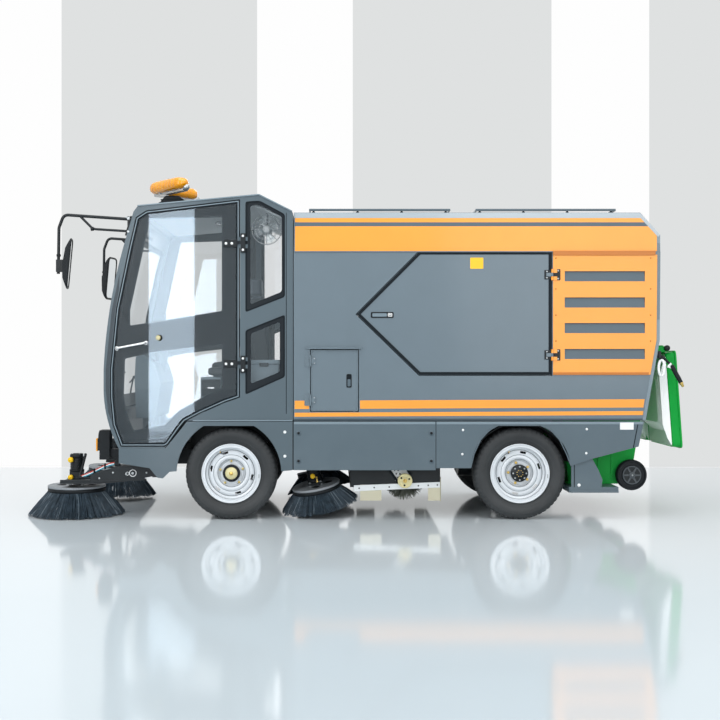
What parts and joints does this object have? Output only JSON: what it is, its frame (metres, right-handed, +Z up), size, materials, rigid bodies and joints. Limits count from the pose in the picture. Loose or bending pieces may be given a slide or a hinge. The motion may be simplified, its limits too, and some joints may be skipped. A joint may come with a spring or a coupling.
{
  "type": "street sweeper truck",
  "caption": "Compact street sweeper truck with a glazed cab, side and middle disc brushes, a cross roller, a hopper body and rear wheelie bins.",
  "frame": {"origin": "middle of the footprint, on the ground", "axes": "+X to the rear of the truck, +Y to the driver's right, +Z up"},
  "size_m": [4.3752, 1.5072, 2.304],
  "materials": {
    "grey_paint": "satin slate grey paint",
    "orange_paint": "satin orange paint",
    "black_steel": "semi-gloss black paint",
    "rim_steel": "silver wheel paint",
    "tyre": "matt black rubber",
    "glass": "clear glass with a black border",
    "black_plastic": "textured black plastic",
    "seat_vinyl": "grey vinyl",
    "amber_plastic": "clear amber lens",
    "green_plastic": "moulded green plastic",
    "wheel_rubber": "black rubber",
    "skirt_rubber": "beige rubber",
    "bristle": "dark nylon bristles"
  },
  "bodies": {
    "chassis": {"battery_pack": "black_plastic", "beacon_lens": "amber_plastic", "beacon_mount": "black_steel", "bin_platform": "black_steel", "bins": "green_plastic", "body_shell": "grey_paint", "body_sides": "grey_paint", "body_skirts": "grey_paint", "cab_floor": "black_plastic", "cab_frame": "grey_paint", "cab_glass": "glass", "cab_skirts": "grey_paint", "dashboard": "black_plastic", "driver_seat": "seat_vinyl", "frame_rails": "black_steel", "front_axle": "black_steel", "lamps": "black_plastic", "leaf_springs": "black_steel", "louvre_panels": "orange_paint", "louvre_slats": "grey_paint", "mid_brush_mounts": "black_steel", "mirror_arms": "black_steel", "mirror_heads": "black_plastic", "rear_axle": "black_steel", "roof_covers": "grey_paint", "rubber_skirts": "skirt_rubber", "spray_gun": "black_plastic", "sweep_housing": "black_steel"},
    "knuckle_left": {"knuckle_left": "black_steel"},
    "wheel_front_left": {"tyre_front_left": "tyre", "rim_front_left": "rim_steel"},
    "wheel_rear_left": {"tyre_rear_left": "tyre", "rim_rear_left": "rim_steel"},
    "cab_door_left": {"cab_door_left": "grey_paint", "door_glass_left": "glass"},
    "service_door_left": {"service_door_left": "grey_paint"},
    "hatch_left": {"hatch_left": "grey_paint"},
    "bin_lid_left": {"bin_lid_left": "green_plastic"},
    "bin_wheels_left": {"bin_wheels_left": "wheel_rubber"},
    "side_arm_left": {"side_arm_left": "black_steel"},
    "side_brush_left": {"side_brush_left": "bristle"},
    "mid_brush_left": {"mid_brush_left": "bristle"},
    "knuckle_right": {"knuckle_right": "black_steel"},
    "wheel_front_right": {"tyre_front_right": "tyre", "rim_front_right": "rim_steel"},
    "wheel_rear_right": {"tyre_rear_right": "tyre", "rim_rear_right": "rim_steel"},
    "cab_door_right": {"cab_door_right": "grey_paint", "door_glass_right": "glass"},
    "service_door_right": {"service_door_right": "grey_paint"},
    "hatch_right": {"hatch_right": "grey_paint"},
    "bin_lid_right": {"bin_lid_right": "green_plastic"},
    "bin_wheels_right": {"bin_wheels_right": "wheel_rubber"},
    "side_arm_right": {"side_arm_right": "black_steel"},
    "side_brush_right": {"side_brush_right": "bristle"},
    "mid_brush_right": {"mid_brush_right": "bristle"},
    "tie_rod": {"tie_rod": "black_steel"},
    "rear_hatch": {"rear_hatch": "grey_paint"},
    "roller_brush": {"roller_brush": "bristle"}
  },
  "joints": [
    {"name": "steer_left", "type": "hinge", "parent": "chassis", "child": "knuckle_left", "pos_m": [-0.79363, -0.5, 0.3], "axis": [0, 0, 1], "range_deg": [-30, 30]},
    {"name": "steer_right", "type": "hinge", "parent": "chassis", "child": "knuckle_right", "pos_m": [-0.79363, 0.5, 0.3], "axis": [0, 0, 1], "range_deg": [-30, 30]},
    {"name": "tie_rod_swivel", "type": "hinge", "parent": "knuckle_left", "child": "tie_rod", "pos_m": [-0.97363, -0.5, 0.22], "axis": [0, 0, 1], "range_deg": [-30, 30]},
    {"name": "front_wheel_left_spin", "type": "hinge", "parent": "knuckle_left", "child": "wheel_front_left", "pos_m": [-0.79363, -0.6175, 0.3], "axis": [0, 1, 0], "continuous": true},
    {"name": "rear_wheel_left_spin", "type": "hinge", "parent": "chassis", "child": "wheel_rear_left", "pos_m": [1.08637, -0.6175, 0.3], "axis": [0, 1, 0], "continuous": true},
    {"name": "cab_door_left_hinge", "type": "hinge", "parent": "chassis", "child": "cab_door_left", "pos_m": [-0.73163, -0.728, 1.4], "axis": [0, 0, 1], "range_deg": [0, 75]},
    {"name": "service_door_left_hinge", "type": "hinge", "parent": "chassis", "child": "service_door_left", "pos_m": [1.28937, -0.731, 1.34], "axis": [0, 0, 1], "range_deg": [0, 110]},
    {"name": "hatch_left_hinge", "type": "hinge", "parent": "chassis", "child": "hatch_left", "pos_m": [-0.27763, -0.727, 0.9], "axis": [0, 0, -1], "range_deg": [0, 110]},
    {"name": "bin_lid_left_hinge", "type": "hinge", "parent": "chassis", "child": "bin_lid_left", "pos_m": [2.08637, -0.3, 1.118], "axis": [0, -1, 0], "range_deg": [0, 150]},
    {"name": "bin_wheels_left_spin", "type": "hinge", "parent": "chassis", "child": "bin_wheels_left", "pos_m": [1.84437, -0.3, 0.278], "axis": [0, 1, 0], "continuous": true},
    {"name": "side_arm_left_lift", "type": "hinge", "parent": "chassis", "child": "side_arm_left", "pos_m": [-1.27763, -0.631, 0.307], "axis": [0, 1, 0], "range_deg": [0, 15]},
    {"name": "side_brush_left_spin", "type": "hinge", "parent": "side_arm_left", "child": "side_brush_left", "pos_m": [-1.86263, -0.42, 0.22], "axis": [0, 0, 1], "continuous": true},
    {"name": "mid_brush_left_spin", "type": "hinge", "parent": "chassis", "child": "mid_brush_left", "pos_m": [-0.2441, -0.47029, 0.19602], "axis": [-0.1908, -0.1192, 0.9744], "continuous": true},
    {"name": "front_wheel_right_spin", "type": "hinge", "parent": "knuckle_right", "child": "wheel_front_right", "pos_m": [-0.79363, 0.6175, 0.3], "axis": [0, 1, 0], "continuous": true},
    {"name": "rear_wheel_right_spin", "type": "hinge", "parent": "chassis", "child": "wheel_rear_right", "pos_m": [1.08637, 0.6175, 0.3], "axis": [0, 1, 0], "continuous": true},
    {"name": "cab_door_right_hinge", "type": "hinge", "parent": "chassis", "child": "cab_door_right", "pos_m": [-0.73163, 0.728, 1.4], "axis": [0, 0, -1], "range_deg": [0, 75]},
    {"name": "service_door_right_hinge", "type": "hinge", "parent": "chassis", "child": "service_door_right", "pos_m": [1.28937, 0.731, 1.34], "axis": [0, 0, -1], "range_deg": [0, 110]},
    {"name": "hatch_right_hinge", "type": "hinge", "parent": "chassis", "child": "hatch_right", "pos_m": [-0.27763, 0.727, 0.9], "axis": [0, 0, 1], "range_deg": [0, 110]},
    {"name": "bin_lid_right_hinge", "type": "hinge", "parent": "chassis", "child": "bin_lid_right", "pos_m": [2.08637, 0.3, 1.118], "axis": [0, -1, 0], "range_deg": [0, 150]},
    {"name": "bin_wheels_right_spin", "type": "hinge", "parent": "chassis", "child": "bin_wheels_right", "pos_m": [1.84437, 0.3, 0.278], "axis": [0, 1, 0], "continuous": true},
    {"name": "side_arm_right_lift", "type": "hinge", "parent": "chassis", "child": "side_arm_right", "pos_m": [-1.27763, 0.631, 0.307], "axis": [0, 1, 0], "range_deg": [-4.5, 10.5]},
    {"name": "side_brush_right_spin", "type": "hinge", "parent": "side_arm_right", "child": "side_brush_right", "pos_m": [-1.77593, 0.42, 0.25895], "axis": [0.0785, 0, 0.9969], "continuous": true},
    {"name": "mid_brush_right_spin", "type": "hinge", "parent": "chassis", "child": "mid_brush_right", "pos_m": [-0.2441, 0.47029, 0.19602], "axis": [-0.1908, 0.1192, 0.9744], "continuous": true},
    {"name": "rear_hatch_hinge", "type": "hinge", "parent": "chassis", "child": "rear_hatch", "pos_m": [1.86637, 0, 1.992], "axis": [0, -1, 0], "range_deg": [0, 85]},
    {"name": "roller_spin", "type": "hinge", "parent": "chassis", "child": "roller_brush", "pos_m": [0.34237, 0, 0.245], "axis": [0, 1, 0], "continuous": true}
  ],
  "couplings": [
    {"joint": "steer_right", "follows": "steer_left", "ratio": 1},
    {"joint": "tie_rod_swivel", "follows": "steer_left", "ratio": -1}
  ]
}
